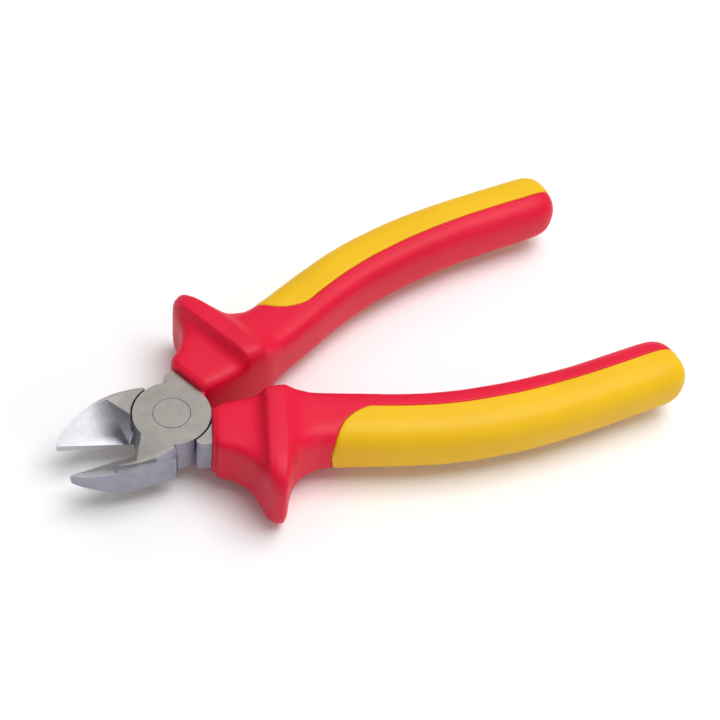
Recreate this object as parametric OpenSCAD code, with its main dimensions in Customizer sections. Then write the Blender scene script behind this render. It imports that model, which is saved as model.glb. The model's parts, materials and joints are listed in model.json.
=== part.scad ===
// Insulated diagonal cutting pliers, lying flat with the jaws part open.
// The jaw axis runs along X: jaws towards -X, handles towards +X.
// Z is the pivot axis, and Z = 0 is the flat back of the head.
// The two halves are modelled as if the tool were shut, each on its own side
// of the plane Y = 0, and are then turned apart about the pivot.

/* [Head] */
// Thickness of the forged head
head_t = 10; // [8.3:0.1:12]
// Radius of the round lap joint
lap_r = 9.4; // [7.8:0.1:11.3]
// Gap between a lap disc and the pocket that it turns in
lap_gap = 0.45; // [0.3:0.05:0.6]
// Gap between the two lap faces
face_gap = 0.06; // [0.02:0.01:0.1]
// Distance from the pivot to the tip of the jaws
jaw_len = 27.75; // [23:0.25:33.5]
// Distance from the joint's rim to the inner end of the cutting edges
edge_gap = 1; // [0.6:0.1:2]
// Height of the cutting edge at the tip
edge_tip_z = 5.2; // [4:0.1:6]
// Height of the cutting edge at its inner end
edge_root_z = 0.4; // [0.2:0.1:1.5]
// Radius of the curved nose of a jaw, seen from the front
nose_r = 21; // [18:0.5:30]
// Width of the blunt tip of one jaw
tip_w = 0.6; // [0.3:0.1:1]
// How far the sides of the jaws stand out past the joint's rim
jaw_side = 1.4; // [1:0.1:1.8]
// Thickness of the jaw at its tip
tip_t = 2.4; // [1.5:0.1:3]
// Half of the angle between the halves as stored
rest_half = 9.4; // [4:0.1:12]

/* [Rivet] */
// Radius of the rivet's shank
shank_r = 3; // [2.5:0.1:3.4]
// Radius of the rivet's two sunk heads
rivet_head_r = 4.5; // [4:0.1:5]
// Depth of each sunk head
rivet_head_t = 1.5; // [1:0.1:2]
// Radial clearance of the shank in the half that turns on it
run_gap = 0.05; // [0.02:0.01:0.1]

/* [Tang] */
// Width of the steel tang inside a handle
tang_w = 8; // [6:0.1:9.6]
// Thickness of the steel tang
tang_t = 7; // [5.8:0.1:8.4]
// Distance from the end of the tang to the end of the handle
tang_back = 10.7; // [9:0.1:20]

/* [Grip] */
// Distance from the pivot to the end of a handle
handle_len = 130.3; // [108:0.1:157]
// Wall of the inner insulating layer
liner_t = 1.1; // [0.8:0.1:1.4]
// Wall of the grip over the inner layer, halfway along a handle
grip_wall = 2.9; // [2.6:0.1:3.6]
// Length over which the end of a handle is rounded
end_round = 9; // [7:0.5:12]
// Depth that the soft pad is let into the sleeve
pad_t = 1.6; // [1:0.1:1.8]
// Height that the soft pad stands proud of the sleeve
pad_proud = 0.15; // [0.1:0.05:0.3]
// Where the soft pad starts
pad_start = 37; // [34:1:50]
// How far the soft pad wraps round the handle from its outer side
pad_wrap = 106; // [90:1:120]

/* [Hidden] */
$fn = 96;
over = 1;
mid_z = head_t / 2;
shut_gap = 0.03;
steel = [0.66, 0.65, 0.63];
red = [0.88, 0.17, 0.27];
yellow = [0.95, 0.79, 0.12];

edge_start = lap_r + edge_gap;
jaw_w = lap_r + jaw_side;
tang_end = handle_len - tang_back;

// The neck and the finger guard, station by station: distance past the joint's
// rim, how far the outer side stands out past the rim, inner side, wall over the
// head's two faces, and how square the section is.
guard_rows = [
    [-0.4, 3.0, 0.5, 1.7, 5], [0.2, 4.2, 0.4, 2.3, 5], [2.6, 5.8, 0.35, 2.6, 5],
    [4.4, 8.2, 0.35, 2.8, 5], [5.6, 10.8, 0.35, 2.9, 5], [6.5, 14.0, 0.35, 3.0, 5],
    [7.4, 17.0, 0.35, 3.1, 4.6], [8.8, 19.3, 0.35, 3.5, 4.4], [10.6, 20.0, 0.35, 4.3, 4.4],
    [12.0, 18.5, 0.35, 5.4, 4.2], [13.5, 14.8, 0.35, 6.2, 4.2], [15.4, 11.5, 0.35, 6.2, 4.2],
    [17.6, 9.8, 0.4, 5.2, 3.8], [20.0, 9.0, 0.9, 4.0, 3.2], [22.6, 8.5, 1.7, 3.1, 2.9]];
// The grip: share of the way from the guard to the rounded end, middle of the
// section, what its half width and half thickness add to grip_wall, squareness.
grip_rows = [
    [0.067, 10.8, 0, 0, 2.8], [0.156, 12.8, 0.1, 0, 2.8], [0.256, 14.85, 0, 0, 2.8],
    [0.357, 16.35, 0, 0, 2.8], [0.457, 17.05, 0, 0, 2.8], [0.557, 17.15, 0, 0, 2.8],
    [0.658, 16.7, 0, 0, 2.8], [0.758, 15.85, -0.1, 0, 2.8], [0.858, 14.6, -0.1, -0.1, 2.8],
    [0.948, 13.35, -0.1, -0.2, 2.7]];
// Rounded end: share of its length, and share of the full section.
end_rows = [[1, 1], [0.61, 0.98], [0.33, 0.925], [0.144, 0.82], [0.044, 0.66], [0, 0.5]];
end_mid = 12.5;
guard_end = lap_r + guard_rows[len(guard_rows) - 1][0];
grip_len = handle_len - end_round - guard_end;
half_w = tang_w / 2 + liner_t + grip_wall;
half_t = tang_t / 2 + liner_t + grip_wall;
guard_part = [for (r = guard_rows) [lap_r + r[0], lap_r + r[1], r[2], head_t / 2 + r[3], r[4]]];
grip_part = [for (r = grip_rows)
    [guard_end + r[0] * grip_len, r[1] + half_w + r[2], r[1] - half_w - r[2], half_t + r[3], r[4]]];
end_part = [for (e = end_rows) let(m = end_mid - 0.12 * end_round * (1 - e[0]), w = (half_w - 0.2) * e[1])
    [handle_len - end_round * e[0], m + w, m - w, (half_t - 0.2) * e[1], 2.6]];
// Distance from the pivot, outer side, inner side, half thickness, squareness.
rows = concat(guard_part, grip_part, end_part);

function backwards(line) = [for (i = [len(line) - 1:-1:0]) line[i]];
function mid_y(r) = (r[1] + r[2]) / 2;
function signed_pow(v, p) = sign(v) * pow(abs(v), p);
// The handle's section leans back where it meets the neck, and lies square to
// the handle's line towards its end.
function slant(r) = 0.22 * max(0, min(1, (lap_r + 5.6 - r[0]) / 4))
    - 0.15 * max(0, min(1, (r[0] - handle_len + 35) / 25));
function skin_point(r, a, grow) = let(
    y = mid_y(r) + ((r[1] - r[2]) / 2 + grow) * signed_pow(cos(a), 2 / r[4]),
    z = mid_z + (r[3] + grow) * signed_pow(sin(a), 2 / r[4]))
    [r[0] - slant(r) * (y - mid_y(r)), y, z];
function ring(r, angles, grow) = [for (a = angles) skin_point(r, a, grow)];
function tang_mid(x) = lookup(x, [for (r = rows) [r[0], mid_y(r)]]);

// Closed skin over a list of rings with the same number of points. An open
// channel has its two ends closed by strips between its outer and inner face.
module skin(rings, channel = false) {
    n = len(rings[0]);
    last = len(rings) - 1;
    end = channel
        ? [for (i = [0:n / 2 - 2]) each [[i, i + 1, n - 1 - i], [i + 1, n - 2 - i, n - 1 - i]]]
        : [for (i = [1:n - 2]) [0, i, i + 1]];
    side = [for (k = [0:last - 1], i = [0:n - 1]) let(a = k * n, b = a + n, j = (i + 1) % n)
        each [[a + i, b + i, a + j], [a + j, b + i, b + j]]];
    polyhedron(points = [for (r = rings) each r], faces = concat(end, side,
        [for (f = end) [last * n + f[0], last * n + f[2], last * n + f[1]]]), convexity = 6);
}

// The handle is convex between one station and the next.
module handle_solid() {
    angles = [for (i = [0:35]) i * 10];
    for (k = [1:len(rows) - 1]) hull() skin([ring(rows[k - 1], angles, 0), ring(rows[k], angles, 0)]);
}

// Soft pad, a channel round the handle's outer side, up to a height over the
// skin. Its stations are its own and lie between the handle's.
function row_at(x) = [x, for (c = [1:4]) lookup(x, [for (r = rows) [r[0], r[c]]])];
module pad_solid(top) {
    steps = 9;
    wrap = [for (i = [-steps:steps]) i * pad_wrap / steps];
    straight_end = handle_len - end_round;
    xs = concat([for (x = [pad_start:6.1:straight_end - 2]) x],
        [for (k = [0.05, 0.5, 0.76, 0.91]) straight_end + end_round * k]);
    skin([for (x = xs) let(r = row_at(x))
        concat(ring(r, wrap, top), ring(r, backwards(wrap), -pad_t))], true);
}

// Steel of a handle: the neck runs out of the joint and narrows to the tang.
neck_end = lap_r + 20.6;
tang_x = [for (x = [neck_end - 4:6:tang_end - 5]) x];
function side_line(xs, off) = [for (x = xs) [x, tang_mid(x) + off]];
neck_outer = [[3.8, lap_r - 1], [3.8, lap_r + 0.5], [4.8, lap_r + 1.4], [lap_r - 0.9, lap_r + 1.6],
    [lap_r + 4.6, lap_r + 2.6], [lap_r + 10.6, lap_r + 3]];
neck_inner = [[lap_r + 10.6, 3.4], [lap_r + 4.6, 2.1], [lap_r + lap_gap, 1.2], [5, 0.5]];
neck_outline = concat(neck_outer, side_line(tang_x, tang_w / 2), [[tang_end, tang_mid(tang_end)]],
    backwards(side_line(tang_x, -tang_w / 2)), neck_inner);
module handle_steel() {
    intersection() {
        linear_extrude(head_t) polygon(neck_outline);
        union() {
            cube([neck_end, 2 * neck_end, head_t]);
            translate([neck_end - over, 0, mid_z - tang_t / 2]) cube([tang_end, 2 * neck_end, tang_t]);
        }
    }
}

// Inner insulating layer with chamfered corners, closed at its far end.
function liner_ring(x, w) = let(t = tang_t / 2 + liner_t, c = liner_t + 0.3)
    [for (p = [[w, c - t], [w, t - c], [w - c, t], [c - w, t],
        [-w, t - c], [-w, c - t], [c - w, -t], [w - c, -t]]) [x, tang_mid(x) + p[0], mid_z + p[1]]];
module liner_outer() {
    w = tang_w / 2 + liner_t;
    rings = concat([for (x = concat([neck_end], tang_x)) if (x >= neck_end) liner_ring(x, w)],
        [liner_ring(tang_end + liner_t, liner_t + 1)]);
    for (k = [1:len(rings) - 1]) hull() skin([rings[k - 1], rings[k]]);
}

// The nose is an arc from the tip to where the side of the jaw runs straight.
nose_end = [-lap_r - 5.1, jaw_w - 2.1];
nose_start = [-jaw_len, tip_w];
nose_mid = (nose_start + nose_end) / 2;
nose_half = norm(nose_end - nose_start) / 2;
nose_dir = (nose_end - nose_start) / (2 * nose_half);
nose_in = [nose_dir[1], -nose_dir[0]];
nose_centre = nose_mid + nose_in * sqrt(nose_r * nose_r - nose_half * nose_half);
nose_a = atan2(tip_w - nose_centre[1], -jaw_len - nose_centre[0]);
nose_b = atan2(nose_end[1] - nose_centre[1], nose_end[0] - nose_centre[0]);
nose_turn = nose_b > nose_a ? nose_b - nose_a - 360 : nose_b - nose_a;
nose_arc = [for (i = [0:16]) nose_centre
    + nose_r * [cos(nose_a + nose_turn * i / 16), sin(nose_a + nose_turn * i / 16)]];
jaw_back = lap_r / 2;
jaw_outline = concat([[-jaw_len, 0]], nose_arc, [[-lap_r - 0.6, jaw_w - 0.9], [-jaw_back - 0.7, jaw_w],
    [-jaw_back, jaw_w - 0.6], [-jaw_back, 0]]);

// Everything on the far side of a plane through three points is removed.
module cut_beyond(a, b, c) {
    x = (b - a) / norm(b - a);
    n0 = cross(b - a, c - a);
    n = n0 / norm(n0);
    y = cross(n, x);
    multmatrix([[x[0], y[0], n[0], a[0]], [x[1], y[1], n[1], a[1]], [x[2], y[2], n[2], a[2]], [0, 0, 0, 1]])
        translate([-60, -60, 0]) cube([120, 120, 60]);
}

// Jaw on the +Y side: the broad bevel faces the front, and runs deeper
// towards the joint, where it ends at a shoulder.
tip = [-jaw_len, shut_gap, edge_tip_z];
root = [-edge_start, shut_gap, edge_root_z];
crest = [-lap_r - 4.8, jaw_w - 3.3, head_t];
shoulder = [-lap_r, 1.5, head_t];
module jaw() {
    difference() {
        linear_extrude(head_t) polygon(jaw_outline);
        intersection() {
            cut_beyond(tip, root, crest);
            cut_beyond(root, shoulder, crest);
        }
        // relief behind the cutting edge, and the thinned back of the nose
        cut_beyond(root, tip, tip + [0, 0.9, -5]);
        cut_beyond([-lap_r - 6.6, 5, 0], [-lap_r - 6.6, 0, 0], [-jaw_len, 0, edge_tip_z - tip_t]);
        // the narrow facet round the nose
        translate([nose_centre[0], nose_centre[1], edge_tip_z])
            rotate([0, 0, atan2(nose_dir[1], nose_dir[0])]) rotate([0, -17, 0])
                rotate_extrude()
                    polygon([[nose_r - 5, head_t + 1.5], [nose_r + 4, -5.1], [nose_r + 4, head_t + 1.5]]);
    }
}

// One half of the head, jaw on the -Y side and neck on the +Y side.
// low says whether its lap disc is the rear one.
module half(low) {
    disc_z = low ? 0 : mid_z + face_gap / 2;
    pocket_z = low ? mid_z - face_gap / 2 : -over;
    bore_r = shank_r + (low ? 0.02 : run_gap);
    difference() {
        union() {
            difference() {
                union() {
                    mirror([0, 1, 0]) jaw();
                    handle_steel();
                }
                translate([0, 0, pocket_z])
                    cylinder(r = lap_r + lap_gap, h = mid_z + over + face_gap / 2);
            }
            translate([0, 0, disc_z]) cylinder(r = lap_r, h = mid_z - face_gap / 2);
        }
        translate([0, 0, -over]) cylinder(r = bore_r, h = head_t + 2 * over);
        translate([0, 0, low ? -over : head_t - rivet_head_t])
            cylinder(r = rivet_head_r + run_gap, h = rivet_head_t + over);
    }
}

module as_front() rotate([0, 0, rest_half]) children();
module as_rear() rotate([0, 0, -rest_half]) mirror([0, 1, 0]) children();

module sleeve() {
    difference() {
        handle_solid();
        liner_outer();
        handle_steel();
        pad_solid(pad_proud + over);
    }
}

module liner() {
    difference() {
        liner_outer();
        handle_steel();
    }
}

module front_half() color(steel) as_front() half(false);
module rear_half() color(steel) as_rear() half(true);
module pivot_rivet() color(steel) {
    cylinder(r = shank_r, h = head_t);
    cylinder(r = rivet_head_r, h = rivet_head_t - run_gap);
    translate([0, 0, head_t - rivet_head_t + run_gap]) cylinder(r = rivet_head_r, h = rivet_head_t - run_gap);
}
module front_handle_liner() color(yellow) as_front() liner();
module rear_handle_liner() color(yellow) as_rear() liner();
module front_handle_sleeve() color(red) as_front() sleeve();
module rear_handle_sleeve() color(red) as_rear() sleeve();
module front_handle_pad() color(yellow) as_front() pad_solid(pad_proud);
module rear_handle_pad() color(yellow) as_rear() pad_solid(pad_proud);

front_half();
rear_half();
pivot_rivet();
front_handle_liner();
rear_handle_liner();
front_handle_sleeve();
rear_handle_sleeve();
front_handle_pad();
rear_handle_pad();
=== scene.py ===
"""Insulated diagonal cutting pliers: two forged steel halves on a rivet, with two-part moulded grips."""

import bmesh
import bpy
import json
import math
from mathutils import Matrix, Vector


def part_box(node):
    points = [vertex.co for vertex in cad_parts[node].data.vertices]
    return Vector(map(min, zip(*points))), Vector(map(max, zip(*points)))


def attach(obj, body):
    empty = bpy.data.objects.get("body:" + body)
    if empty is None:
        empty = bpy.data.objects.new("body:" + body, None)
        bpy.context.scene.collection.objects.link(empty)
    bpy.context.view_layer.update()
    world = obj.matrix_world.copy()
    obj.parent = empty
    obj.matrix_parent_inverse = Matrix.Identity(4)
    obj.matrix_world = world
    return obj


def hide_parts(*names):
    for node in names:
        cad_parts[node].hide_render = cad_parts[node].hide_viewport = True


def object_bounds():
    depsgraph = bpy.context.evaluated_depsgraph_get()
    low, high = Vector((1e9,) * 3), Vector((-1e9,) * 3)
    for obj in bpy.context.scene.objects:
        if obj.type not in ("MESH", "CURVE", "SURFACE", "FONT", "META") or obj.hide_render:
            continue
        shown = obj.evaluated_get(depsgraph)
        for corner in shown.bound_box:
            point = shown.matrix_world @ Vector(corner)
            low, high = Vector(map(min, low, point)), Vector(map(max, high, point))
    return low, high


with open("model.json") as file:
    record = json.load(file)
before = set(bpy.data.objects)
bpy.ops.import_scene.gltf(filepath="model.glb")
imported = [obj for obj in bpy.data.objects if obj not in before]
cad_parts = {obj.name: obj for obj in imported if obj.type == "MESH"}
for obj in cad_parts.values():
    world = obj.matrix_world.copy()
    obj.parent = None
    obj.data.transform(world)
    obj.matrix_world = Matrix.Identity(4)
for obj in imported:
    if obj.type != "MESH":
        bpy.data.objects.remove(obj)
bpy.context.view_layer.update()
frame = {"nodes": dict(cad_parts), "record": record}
MM = 0.001
pivot = frame["record"]["behaviour"]["joints"][0]
half_angle = math.radians(-pivot["range_deg"][0] / 2)   # each half is turned this far from shut
mid_z = pivot["pos_m"][2] / MM                          # middle of the head's thickness, in mm

# ---------------------------------------------------------------- camera
# A product view: the tool lies flat, seen from its near side and from well above.
# The lens is long, and the camera is rolled a little, so the tool rises to the right.
view_azimuth = math.radians(-33.6)
view_elevation = math.radians(50.05)
view_roll = math.radians(8.63)
view_distance = 358.4 * MM
focal_px = 1501.5
picture_px = 720
aim = Vector((0, 0, 10 * MM))
aim_px = (171.8, 412.8)

back = Vector((math.sin(view_azimuth) * math.cos(view_elevation),
               -math.cos(view_azimuth) * math.cos(view_elevation), math.sin(view_elevation)))
level = Vector((math.cos(view_azimuth), math.sin(view_azimuth), 0))
upright = back.cross(level)
right = level * math.cos(view_roll) + upright * math.sin(view_roll)
above = back.cross(right)
across = (aim_px[0] - picture_px / 2) / focal_px * view_distance
down = (aim_px[1] - picture_px / 2) / focal_px * view_distance

camera = bpy.data.objects.new("camera", bpy.data.cameras.new("camera"))
bpy.context.scene.collection.objects.link(camera)
camera.matrix_world = Matrix.Translation(aim + back * view_distance - right * across + above * down) @ \
    Matrix((right, above, back)).transposed().to_4x4()
camera.data.sensor_width = 36
camera.data.lens = 36 * focal_px / picture_px
camera.data.clip_start = 0.01
bpy.context.scene.camera = camera
bpy.context.scene.view_settings.view_transform = "Standard"


# ---------------------------------------------------------------- steel halves
# Two drop-forged tool-steel halves, hardened and ground. The flat faces and the
# jaws' bevels are ground bright, and the side walls keep a duller satin finish.
def linear(hex_colour):
    """The linear colour of an sRGB hex value, for a shader's socket."""
    parts = [int(hex_colour[i:i + 2], 16) / 255 for i in (1, 3, 5)]
    return [p / 12.92 if p <= 0.04045 else ((p + 0.055) / 1.055) ** 2.4 for p in parts] + [1]


def add(material, kind, links=(), **settings):
    """Adds a shader node. A setting is an input's value where the node has that input, or else a property."""
    made = material.node_tree.nodes.new(kind)
    for name, value in settings.items():
        label = name.replace("_", " ").capitalize()
        socket = next((s for s in made.inputs if s.name.capitalize() == label), None)
        if socket is not None:
            socket.default_value = value
        else:
            setattr(made, name, value)
    for source, output, target in links:
        material.node_tree.links.new(source.outputs[output], made.inputs[target])
    return made


def new_material(name):
    made = bpy.data.materials.new(name)
    made.use_nodes = True
    made.node_tree.nodes.clear()
    return made


def finish_material(material, shader):
    add(material, "ShaderNodeOutputMaterial", [(shader, "BSDF", "Surface")])
    return material


HOLLOW_MIDDLE_MM = 19          # distance of the bevels' lowest line from the pivot


def ground_steel(name, colours, roughness, line_mm, turn, depth, hollow=0.0):
    """Hardened steel off the grinding wheel: fine parallel lines, and a face that can be a little hollow."""
    steel = new_material(name)
    place = add(steel, "ShaderNodeTexCoord")
    lines_place = add(steel, "ShaderNodeMapping", [(place, "Object", "Vector")],
                      rotation=(0, 0, turn), scale=(1, 0.04, 1))
    lines = add(steel, "ShaderNodeTexNoise", [(lines_place, "Vector", "Vector")],
                scale=1 / (line_mm * MM), detail=4, roughness=0.6)
    cloud = add(steel, "ShaderNodeTexNoise", [(place, "Object", "Vector")],
                scale=350, detail=5, roughness=0.6)
    tone = add(steel, "ShaderNodeValToRGB", [(cloud, "Fac", "Fac")])
    tone.color_ramp.elements[0].position, tone.color_ramp.elements[1].position = 0.3, 0.7
    tone.color_ramp.elements[0].color, tone.color_ramp.elements[1].color = map(linear, colours)
    polish = add(steel, "ShaderNodeMapRange", [(lines, "Fac", "Value")])
    polish.inputs["From Min"].default_value, polish.inputs["From Max"].default_value = 0.3, 0.7
    polish.inputs["To Min"].default_value, polish.inputs["To Max"].default_value = roughness
    relief = add(steel, "ShaderNodeBump", [(lines, "Fac", "Height")], strength=0.35, distance=depth * MM)
    if hollow:
        axes = add(steel, "ShaderNodeSeparateXYZ", [(place, "Object", "Vector")])
        across = add(steel, "ShaderNodeMath", [(axes, "X", 0)], operation="ADD")
        across.inputs[1].default_value = HOLLOW_MIDDLE_MM * MM
        rise = add(steel, "ShaderNodeMath", [(across, 0, 0), (across, 0, 1)], operation="MULTIPLY")
        height = add(steel, "ShaderNodeMath", [(rise, 0, 0)], operation="MULTIPLY")
        height.inputs[1].default_value = hollow
        relief = add(steel, "ShaderNodeBump", [(height, 0, "Height"), (relief, "Normal", "Normal")],
                     strength=1, distance=1)
    return finish_material(steel, add(steel, "ShaderNodeBsdfPrincipled", [
        (tone, "Color", "Base Color"), (polish, "Result", "Roughness"), (relief, "Normal", "Normal")],
        metallic=1))


# Ground flats: light warm grey, an even satin sheen with faint wheel marks.
flat_steel = ground_steel("ground_tool_steel", ("#a39d97", "#b1aba5"), (0.30, 0.42), 0.16, 0.5, 0.02)
# Bevels: ground finer than the flats, so they flash white or dark as they turn.
# They are shaded slightly hollow from the tip to the root, as a wheel can leave
# them. The mesh itself is flat.
bevel_steel = ground_steel("honed_edge_steel", ("#afafb4", "#bdbdc2"), (0.14, 0.24), 0.10, 1.35, 0.01,
                           hollow=8.5)
# Walls: forged and tumbled, bluer and duller than the ground faces.
wall_steel = ground_steel("forged_tool_steel", ("#90919d", "#a0a1ac"), (0.34, 0.48), 0.5, 0.0, 0.05)
EDGE_MM = 0.16                 # small radius left on every corner by tumbling
BEVEL_START_MM = 9.0           # the bevels lie further than this from the pivot, on the jaws
LEVEL = 0.93                   # a face whose normal rises more than this is one of the flats
UPRIGHT = 0.08                 # and one whose normal rises less than this is a wall
RELIEF_LEAN = 0.4              # the relief under an edge leans down by less than this


def steel_half(node, name, body):
    """The CAD forging with its facets merged and its corners eased, and a finish for each kind of face."""
    mesh = frame["nodes"][node].data.copy()
    mesh.name = name
    form = bmesh.new()
    form.from_mesh(mesh)
    bmesh.ops.remove_doubles(form, verts=form.verts, dist=0.002 * MM)
    bmesh.ops.dissolve_limit(form, angle_limit=math.radians(1), verts=form.verts, edges=form.edges)
    form.to_mesh(mesh)
    form.free()
    piece = bpy.data.objects.new(name, mesh)
    bpy.context.scene.collection.objects.link(piece)
    ease = piece.modifiers.new("eased corners", "BEVEL")
    ease.width = EDGE_MM * MM
    ease.segments = 2
    ease.limit_method = "ANGLE"
    ease.angle_limit = math.radians(24)
    ease.use_clamp_overlap = True
    ease.harden_normals = False
    done = bpy.data.meshes.new_from_object(piece.evaluated_get(bpy.context.evaluated_depsgraph_get()))
    piece.modifiers.clear()
    piece.data = done
    done.materials.clear()
    for steel in (flat_steel, bevel_steel, wall_steel):
        done.materials.append(steel)
    for face in done.polygons:
        lean = face.normal.z
        level_face = abs(lean) > LEVEL
        sloped = UPRIGHT < lean < LEVEL or -RELIEF_LEAN < lean < -UPRIGHT
        on_jaw = face.center.x < -BEVEL_START_MM * MM
        face.material_index = 1 if sloped and on_jaw else 0 if level_face else 2
    done.shade_smooth()
    done.set_sharp_from_angle(angle=math.radians(12))
    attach(piece, body)
    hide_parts(node)
    return piece


steel_half("front_half", "front_half_forging", "front_body")
steel_half("rear_half", "rear_half_forging", "rear_body")

# ---------------------------------------------------------------- pivot rivet
# A hardened rivet, set and then ground level with both faces of the head. Only
# the hairline round its two sunk heads shows where it ends.
rivet_low, rivet_high = (Vector(c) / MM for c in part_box("pivot_rivet"))
rivet_sizes = {"Head radius": (rivet_high.x - rivet_low.x) / 2 * MM, "Head depth": 1.42 * MM,
               "Shank radius": 3.0 * MM, "Length": (rivet_high.z - rivet_low.z) * MM, "Rim ease": 0.08 * MM}

tree = bpy.data.node_groups.new("two_headed_rivet", "GeometryNodeTree")
for name in rivet_sizes:
    tree.interface.new_socket(name, in_out="INPUT", socket_type="NodeSocketFloat")
tree.interface.new_socket("Material", in_out="INPUT", socket_type="NodeSocketMaterial")
tree.interface.new_socket("Geometry", in_out="OUTPUT", socket_type="NodeSocketGeometry")


def rivet_node(kind, links=(), **settings):
    """Adds a node to the rivet's recipe. Each link is (node, output, input)."""
    made = tree.nodes.new(kind)
    for name, value in settings.items():
        setattr(made, name, value)
    for source, output, target in links:
        tree.links.new(source.outputs[output], made.inputs[target])
    return made


def lifted(solid, height):
    """A solid moved up the pivot axis by another node's value."""
    up = rivet_node("ShaderNodeCombineXYZ", [(height, 0, "Z")])
    return rivet_node("GeometryNodeTransform", [(solid, 0, "Geometry"), (up, 0, "Translation")])


given = rivet_node("NodeGroupInput")
# One head, standing on z = 0: a short drum that narrows a little towards the outer face.
rim_radius = rivet_node("ShaderNodeMath", [(given, "Head radius", 0), (given, "Rim ease", 1)],
                        operation="SUBTRACT")
head = rivet_node("GeometryNodeMeshCone", [(rim_radius, 0, "Radius Bottom"),
                                           (given, "Head radius", "Radius Top"),
                                           (given, "Head depth", "Depth")])
# The shank ends halfway through each head.
shank_length = rivet_node("ShaderNodeMath", [(given, "Length", 0), (given, "Head depth", 1)],
                          operation="SUBTRACT")
shank = rivet_node("GeometryNodeMeshCylinder", [(given, "Shank radius", "Radius"),
                                                (shank_length, 0, "Depth")])
for round_part in (head, shank):
    round_part.inputs["Vertices"].default_value = 96
# The head repeats at the two ends of the rivet, turned over at the far one.
span = rivet_node("ShaderNodeCombineXYZ", [(given, "Length", "Z")])
ends = rivet_node("GeometryNodeMeshLine", [(span, 0, "Offset")], mode="OFFSET")
ends.inputs["Count"].default_value = 2
which = rivet_node("GeometryNodeInputIndex")
turned_over = rivet_node("ShaderNodeMath", [(which, 0, 0)], operation="MULTIPLY")
turned_over.inputs[1].default_value = math.pi
facing = rivet_node("ShaderNodeCombineXYZ", [(turned_over, 0, "X")])
heads = rivet_node("GeometryNodeInstanceOnPoints", [(ends, 0, "Points"), (head, 0, "Instance"),
                                                    (facing, 0, "Rotation")])
both = rivet_node("GeometryNodeRealizeInstances", [(heads, 0, 0)])
half_length = rivet_node("ShaderNodeMath", [(given, "Length", 0)], operation="MULTIPLY")
half_length.inputs[1].default_value = 0.5
standing_shank = lifted(shank, half_length)
whole = rivet_node("GeometryNodeMeshBoolean", [(both, 0, "Mesh 2"), (standing_shank, 0, "Mesh 2")],
                   operation="UNION", solver="MANIFOLD")
single = rivet_node("GeometryNodeRealizeInstances", [(whole, 0, 0)])
finish = rivet_node("GeometryNodeSetMaterial", [(single, 0, "Geometry"), (given, "Material", "Material")])
rivet_node("NodeGroupOutput", [(finish, 0, "Geometry")])

rivet = bpy.data.objects.new("pivot_rivet_ground", bpy.data.meshes.new("pivot_rivet_ground"))
bpy.context.scene.collection.objects.link(rivet)
recipe = rivet.modifiers.new("two_headed_rivet", "NODES")
recipe.node_group = tree
for item in tree.interface.items_tree:
    if item.in_out == "INPUT":
        recipe[item.identifier] = flat_steel if item.name == "Material" else rivet_sizes[item.name]
rivet.update_tag()
rivet_mesh = bpy.data.meshes.new_from_object(rivet.evaluated_get(bpy.context.evaluated_depsgraph_get()))
rivet.modifiers.clear()
rivet.data = rivet_mesh
rivet_mesh.shade_smooth()
rivet_mesh.set_sharp_from_angle(angle=math.radians(12))
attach(rivet, "rear_body")
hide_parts("pivot_rivet")

# ---------------------------------------------------------------- red sleeves
# Hard insulating plastic, injection moulded over the tang in one shot. Each has
# a boxy root, a finger guard that flares outwards, and a pocket for the pad.
# Stations along a handle, in mm: distance from the pivot at the middle plane between
# the halves, outer side, inner side, half thickness, how square the outer and the inner
# corners are, and where the middle of the section lies.
stations = [
    (10.4, 12.4, 1.0, 6.9, 6, 6, 7.0), (11.1, 13.6, 0.7, 7.3, 6, 6, 7.2),
    (14.1, 15.2, 0.45, 7.6, 6, 6, 7.6), (17.1, 17.6, 0.35, 7.7, 6, 6, 8.2),
    (19.4, 20.2, 0.35, 7.9, 6, 6, 8.5), (21.0, 23.4, 0.35, 8.5, 6, 6, 8.5),
    (22.0, 25.4, 0.35, 9.6, 5.5, 6, 8.5), (22.6, 26.4, 0.35, 10.7, 5.5, 6, 8.5),
    (22.9, 26.9, 0.35, 11.05, 5.5, 6, 8.5), (23.4, 27.6, 0.35, 11.15, 5, 6, 8.5),
    (24.5, 28.7, 0.35, 11.2, 5, 6, 8.5), (26.5, 29.4, 0.35, 11.1, 5, 6, 8.6),
    (27.5, 27.9, 0.35, 10.9, 5, 6, 8.7), (28.2, 24.2, 0.4, 10.5, 5, 5.8, 8.8),
    (29.2, 20.9, 0.5, 9.7, 4.6, 5.5, 8.9), (30.6, 19.2, 0.8, 8.8, 4.3, 5.2, 9.1),
    (32.4, 18.4, 1.4, 8.2, 4, 5, 9.4), (34.4, 17.9, 2.0, 7.8, 3.7, 4.7, 9.7),
    (39.4, 18.9, 3.1, 7.55, 3.1, 4.4, 11.1), (46, 20.9, 4.7, 7.5, 2.8, 4.2, 12.8),
    (54.9, 22.85, 6.85, 7.5, 2.7, 4, 14.85), (63.9, 24.35, 8.35, 7.5, 2.7, 3.8, 16.35),
    (72.8, 25.05, 9.05, 7.5, 2.7, 3.6, 17.05), (81.7, 25.15, 9.15, 7.5, 2.7, 3.4, 17.15),
    (90.8, 24.7, 8.7, 7.5, 2.7, 3.2, 16.7), (99.7, 23.75, 7.95, 7.5, 2.7, 3.0, 15.85),
    (108.6, 22.45, 6.7, 7.45, 2.7, 2.9, 14.6), (116.7, 21.2, 5.45, 7.4, 2.7, 2.8, 13.35),
    (121.3, 20.45, 4.7, 7.35, 2.7, 2.7, 12.6), (130.3, 19.3, 3.6, 7.3, 2.6, 2.6, 11.45)]
HANDLE_END = 130.3             # the far end, from the pivot
END_ROUND = 8.0                # the stretch over which the end is rounded off
END_SQUARE = 2.9               # how full the rounded end is
GUARD_LEAN = 0.22              # the mouth and the guard lean back by this much a mm
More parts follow.
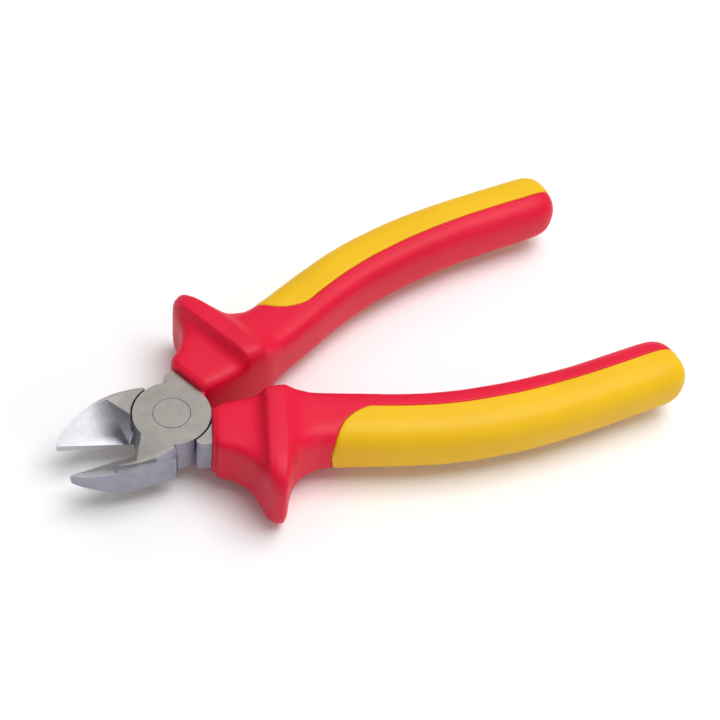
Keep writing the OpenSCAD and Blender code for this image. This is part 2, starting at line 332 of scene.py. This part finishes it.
END_LEAN = 0.15                # and the far end lies square to the handle's line


def eased(table, column, x):
    """A smooth curve through one column of a table, flat where the column turns."""
    k = max(0, min(len(table) - 2, sum(1 for row in table if row[0] <= x) - 1))

    def slope(i):
        if i <= 0 or i >= len(table) - 1:
            j = max(1, min(i, len(table) - 1)) if i > 0 else 1
            return (table[j][column] - table[j - 1][column]) / (table[j][0] - table[j - 1][0])
        before = (table[i][column] - table[i - 1][column]) / (table[i][0] - table[i - 1][0])
        after = (table[i + 1][column] - table[i][column]) / (table[i + 1][0] - table[i][0])
        return 2 * before * after / (before + after) if before * after > 0 else 0.0

    run = table[k + 1][0] - table[k][0]
    t = max(0.0, min(1.0, (x - table[k][0]) / run))
    return ((2 * t ** 3 - 3 * t ** 2 + 1) * table[k][column] + (t ** 3 - 2 * t ** 2 + t) * run * slope(k)
            + (3 * t ** 2 - 2 * t ** 3) * table[k + 1][column] + (t ** 3 - t ** 2) * run * slope(k + 1))


def grip_point(along, turn, grow):
    """A point on the grip, in mm: station, angle round it from its outer side, and height above the skin."""
    swing = max(0.0, min(1.0, 1 - (HANDLE_END - along) / END_ROUND)) * math.pi / 2
    x = min(along, HANDLE_END - END_ROUND) + END_ROUND * math.sin(swing) ** (2 / END_SQUARE)
    shrink = max(0.0, math.cos(swing)) ** (2 / END_SQUARE)
    outer, inner, thick, outer_square, inner_square, middle = (eased(stations, c, x) for c in range(1, 7))
    c, s = math.cos(turn), math.sin(turn)
    reach = outer - middle if c > 0 else middle - inner
    square = outer_square if c > 0 else inner_square
    far = (abs(c / reach) ** square + abs(s / thick) ** square) ** (-1 / square) * shrink
    far = max(far + grow * math.cos(swing), 0.001)
    y = middle + far * c
    lean = GUARD_LEAN * max(0.0, min(1.0, (46 - x) / 18)) * y
    lean -= END_LEAN * max(0.0, min(1.0, (x - HANDLE_END + 35) / 25)) * (y - middle)
    return Vector((x - lean + grow * math.sin(swing), y, mid_z + far * s))


PAD_START = 36.8               # where the pad starts on the outer side
PAD_CORNER = 12.0              # and how much further along its two sides start
PAD_DEPTH = 1.6                # depth of the pad's pocket
PAD_PROUD = 0.15


def pad_turn(along):
    """How far the pad wraps round from the outer side: a little less towards the far end."""
    return math.radians(109 - 4 * max(0.0, min(1.0, (along - 50) / 60)))


def pad_start(share):
    """Where the pad starts, for a share of the way round to one of its long edges: half an ellipse."""
    return PAD_START + PAD_CORNER * (1 - math.sqrt(1 - min(1.0, share * share)))


def spread(first, last, count):
    return [first + (last - first) * k / count for k in range(count + 1)]


def loft(name, grid, cap_first, cap_last, material, body):
    """A closed skin over rows of points that each run once round."""
    mirrored = body == "rear_body"
    place = Matrix.Rotation(-half_angle if mirrored else half_angle, 4, "Z") @ \
        Matrix.Diagonal((MM, -MM if mirrored else MM, MM, 1))
    form = bmesh.new()
    rings = [[form.verts.new(place @ p) for p in row] for row in grid]
    around = len(rings[0])
    for one, two in zip(rings, rings[1:]):
        for k in range(around):
            form.faces.new((one[k], two[k], two[(k + 1) % around], one[(k + 1) % around]))
    for ring, wanted in ((rings[0], cap_first), (rings[-1], cap_last)):
        if wanted:
            middle = form.verts.new(sum((v.co for v in ring), Vector()) / around)
            for k in range(around):
                form.faces.new((middle, ring[k], ring[(k + 1) % around]))
    bmesh.ops.recalc_face_normals(form, faces=form.faces)
    mesh = bpy.data.meshes.new(name)
    form.to_mesh(mesh)
    form.free()
    mesh.materials.append(material)
    mesh.shade_smooth()
    mesh.set_sharp_from_angle(angle=math.radians(50))
    piece = bpy.data.objects.new(name, mesh)
    bpy.context.scene.collection.objects.link(piece)
    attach(piece, body)
    return piece


def moulded(name, colours, roughness, grain_mm, depth):
    """A moulded polymer: an even colour with faint flow clouds, and the fine grain of a blasted mould."""
    plastic = new_material(name)
    place = add(plastic, "ShaderNodeTexCoord")
    cloud = add(plastic, "ShaderNodeTexNoise", [(place, "Object", "Vector")],
                scale=60, detail=3, roughness=0.5)
    tone = add(plastic, "ShaderNodeValToRGB", [(cloud, "Fac", "Fac")])
    tone.color_ramp.elements[0].position, tone.color_ramp.elements[1].position = 0.3, 0.7
    tone.color_ramp.elements[0].color, tone.color_ramp.elements[1].color = map(linear, colours)
    grain = add(plastic, "ShaderNodeTexNoise", [(place, "Object", "Vector")],
                scale=1 / (grain_mm * MM), detail=3, roughness=0.55)
    sheen = add(plastic, "ShaderNodeMapRange", [(grain, "Fac", "Value")])
    sheen.inputs["To Min"].default_value, sheen.inputs["To Max"].default_value = roughness
    relief = add(plastic, "ShaderNodeBump", [(grain, "Fac", "Height")], strength=0.3, distance=depth * MM)
    return finish_material(plastic, add(plastic, "ShaderNodeBsdfPrincipled", [
        (tone, "Color", "Base Color"), (sheen, "Result", "Roughness"), (relief, "Normal", "Normal")],
        ior=1.5, specular_ior_level=0.3))


# Rigid polymer, slightly pink red, satin off a finely blasted mould.
red_plastic = moulded("red_insulating_polymer", ("#da0230", "#e20536"), (0.4, 0.54), 0.35, 0.03)

# Columns run lengthwise. Those over the pad have a share of its half width, and the
# others a share of the bare side. The pocket's lip is a narrow, rounded strip.
LIP = 0.006
columns = [(-1, "lip"), (-1 + LIP, "in")] + [(share, "in") for share in spread(-1, 1, 56)[1:-1]]
columns += [(1 - LIP, "in"), (1, "lip"), (LIP, "out")]
columns += [(share, "out") for share in spread(0, 1, 44)[1:-1]] + [(1 - LIP, "out")]
PAD_LAST = HANDLE_END - 0.08   # the pad runs over the end, up to its middle


def sleeve_row(part, share):
    """One ring of the sleeve. part is front, lip, pocket or end, and share runs along that part."""
    row = []
    for place, where in columns:
        start = pad_start(place if where != "out" else 1)
        if part == "front":
            along = stations[0][0] + (start - stations[0][0]) * share
        elif part == "pocket":
            along = start + 0.05 + (PAD_LAST - 0.05 - start) * share
        else:
            along = start if part == "lip" else PAD_LAST + (HANDLE_END - PAD_LAST) * share
        turn = pad_turn(along)
        angle = turn * place if where != "out" else turn + (math.tau - 2 * turn) * place
        sunk = part == "pocket" and where == "in"
        edge = (part == "lip" and where != "out") or (part == "pocket" and where == "lip")
        row.append(grip_point(along, angle, -PAD_DEPTH if sunk else -0.12 if edge else 0.0))
    return row


def mouth_angle(place, where):
    turn = pad_turn(0)
    return turn * place if where != "out" else turn + (math.tau - 2 * turn) * place


def mouth_row(x, outer, inner, thick, square):
    """A ring of the pocket that the steel neck fills."""
    middle, row = (outer + inner) / 2, []
    for column in columns:
        c, s = math.cos(mouth_angle(*column)), math.sin(mouth_angle(*column))
        far = (abs(c / ((outer - inner) / 2)) ** square + abs(s / thick) ** square) ** (-1 / square)
        y = middle + far * c
        row.append(Vector((x - GUARD_LEAN * y, y, mid_z + far * s)))
    return row


def rim_row(back_mm, grow):
    """A ring of the rounded rim at the sleeve's mouth."""
    back_by = Vector((back_mm, 0, 0))
    return [grip_point(stations[0][0], mouth_angle(*column), grow) - back_by for column in columns]


def sleeve(name, body, node):
    grid = [mouth_row(30, 12, 4.4, 3.4, 10), mouth_row(14, 11.6, 1.6, 5.0, 14),
            mouth_row(10.2, 11.25, 0.9, 5.12, 16), mouth_row(9.6, 11.3, 0.85, 5.2, 16),
            rim_row(0.62, -0.75), rim_row(0.5, -0.35), rim_row(0.2, -0.08)]
    grid += [sleeve_row("front", s) for s in spread(0, 1, 96)[:-1]]
    grid += [sleeve_row("lip", 0)]
    grid += [sleeve_row("pocket", s) for s in spread(0, 1, 90)]
    grid += [sleeve_row("end", s) for s in (0.02, 0.5)]
    piece = loft(name, grid, True, True, red_plastic, body)
    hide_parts(node)


sleeve("front_grip_sleeve", "front_body", "front_handle_sleeve")
sleeve("rear_grip_sleeve", "rear_body", "rear_handle_sleeve")

# ---------------------------------------------------------------- yellow pads
# Soft thermoplastic rubber, moulded into the pocket of each sleeve in a second
# shot. It stands a hair proud of the red, with a fine groove round its edge.
yellow_rubber = moulded("yellow_soft_rubber", ("#e8b500", "#eebc02"), (0.42, 0.55), 0.28, 0.025)
EDGE_STEPS = [(0.0, -0.3), (0.1, -0.1), (0.25, 0.05), (0.5, 0.12), (0.9, PAD_PROUD)]   # mm in, height
PAD_GAP = 0.12                 # width of the groove between the pad and the red


def pad(name, body, node):
    half_width = 14.6          # half of the pad's width, measured round the handle
    columns = [(-1 + (PAD_GAP + d) / half_width, h) for d, h in EDGE_STEPS]
    columns += [(share, PAD_PROUD) for share in spread(columns[-1][0], -columns[-1][0], 56)[1:-1]]
    columns += [(-share, h) for share, h in reversed(columns[:len(EDGE_STEPS)])]
    steps = [(PAD_GAP + d, h, 0) for d, h in EDGE_STEPS] + [(0, PAD_PROUD, s) for s in spread(0, 1, 110)[1:]]
    rows = []
    for off, row_height, along_share in steps:
        top, under = [], []
        for share, column_height in columns:
            first = pad_start(share) + PAD_GAP + EDGE_STEPS[-1][0]
            along = first + (PAD_LAST - first) * along_share if along_share else pad_start(share) + off
            angle = pad_turn(along) * share
            top.append(grip_point(along, angle, min(row_height, column_height)))
            under.append(grip_point(along, angle, -PAD_DEPTH + 0.02))
        rows.append(top + under[::-1])
    piece = loft(name, rows, False, False, yellow_rubber, body)
    form = bmesh.new()
    form.from_mesh(piece.data)
    around = len(rows[0])
    form.verts.ensure_lookup_table()
    for first in (0, (len(rows) - 1) * around):
        for k in range(around // 2 - 1):
            ring = (k, k + 1, around - 2 - k, around - 1 - k)
            form.faces.new([form.verts[first + i] for i in ring])
    bmesh.ops.recalc_face_normals(form, faces=form.faces)
    form.to_mesh(piece.data)
    form.free()
    piece.data.shade_smooth()
    piece.data.set_sharp_from_angle(angle=math.radians(50))
    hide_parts(node)


pad("front_grip_pad", "front_body", "front_handle_pad")
pad("rear_grip_pad", "rear_body", "rear_handle_pad")

# ---------------------------------------------------------------- inner insulation
# First layer of insulation, moulded straight on the tang and hidden by the sleeve.
core_plastic = moulded("inner_insulating_polymer", ("#e2b21a", "#e9bb22"), (0.45, 0.55), 0.4, 0.02)
for node in ("front_handle_liner", "rear_handle_liner"):
    frame["nodes"][node].data.materials.clear()
    frame["nodes"][node].data.materials.append(core_plastic)

# ---------------------------------------------------------------- floor and light
# A pale table under large soft panels, as in a product studio.
floor_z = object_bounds()[0][2]
floor_mesh = bpy.data.meshes.new("table")
side = 3.0
corners = [(-side, -side, floor_z), (side, -side, floor_z), (side, side, floor_z), (-side, side, floor_z)]
floor_mesh.from_pydata(corners, [], [(0, 1, 2, 3)])
floor = bpy.data.objects.new("table", floor_mesh)
bpy.context.scene.collection.objects.link(floor)
paper = new_material("white_table_laminate")
paper_place = add(paper, "ShaderNodeTexCoord")
paper_grain = add(paper, "ShaderNodeTexNoise", [(paper_place, "Object", "Vector")], scale=900, detail=2)
paper_relief = add(paper, "ShaderNodeBump", [(paper_grain, "Fac", "Height")],
                   strength=0.1, distance=0.02 * MM)
finish_material(paper, add(paper, "ShaderNodeBsdfPrincipled", [(paper_relief, "Normal", "Normal")],
                           base_color=linear("#fbfbfb"), roughness=0.7))
floor_mesh.materials.append(paper)

world = bpy.data.worlds.new("studio")
bpy.context.scene.world = world
world.use_nodes = True
world.node_tree.nodes["Background"].inputs["Color"].default_value = linear("#f4f6f8")
world.node_tree.nodes["Background"].inputs["Strength"].default_value = 0.38


def panel(name, azimuth, elevation, distance, size, power, colour="#ffffff"):
    """A soft light panel that faces the tool. Azimuth 0 is on the near side and 90 on the handles' side."""
    a, e = math.radians(azimuth), math.radians(elevation)
    centre = Vector((0.045, 0, 0))
    away = Vector((math.sin(a) * math.cos(e), -math.cos(a) * math.cos(e), math.sin(e)))
    light = bpy.data.lights.new(name, "AREA")
    light.shape = "RECTANGLE"
    light.size, light.size_y = size
    light.energy = power
    light.color = linear(colour)[:3]
    made = bpy.data.objects.new(name, light)
    bpy.context.scene.collection.objects.link(made)
    made.location = centre + away * distance
    made.rotation_euler = away.to_track_quat("Z", "Y").to_euler()


panel("overhead panel", 75, 72, 1.0, (0.7, 0.7), 8.0)
panel("near panel", 20, 27, 0.9, (0.34, 0.4), 0.7)
panel("rear panel", 165, 50, 1.0, (1.2, 0.8), 1.2)
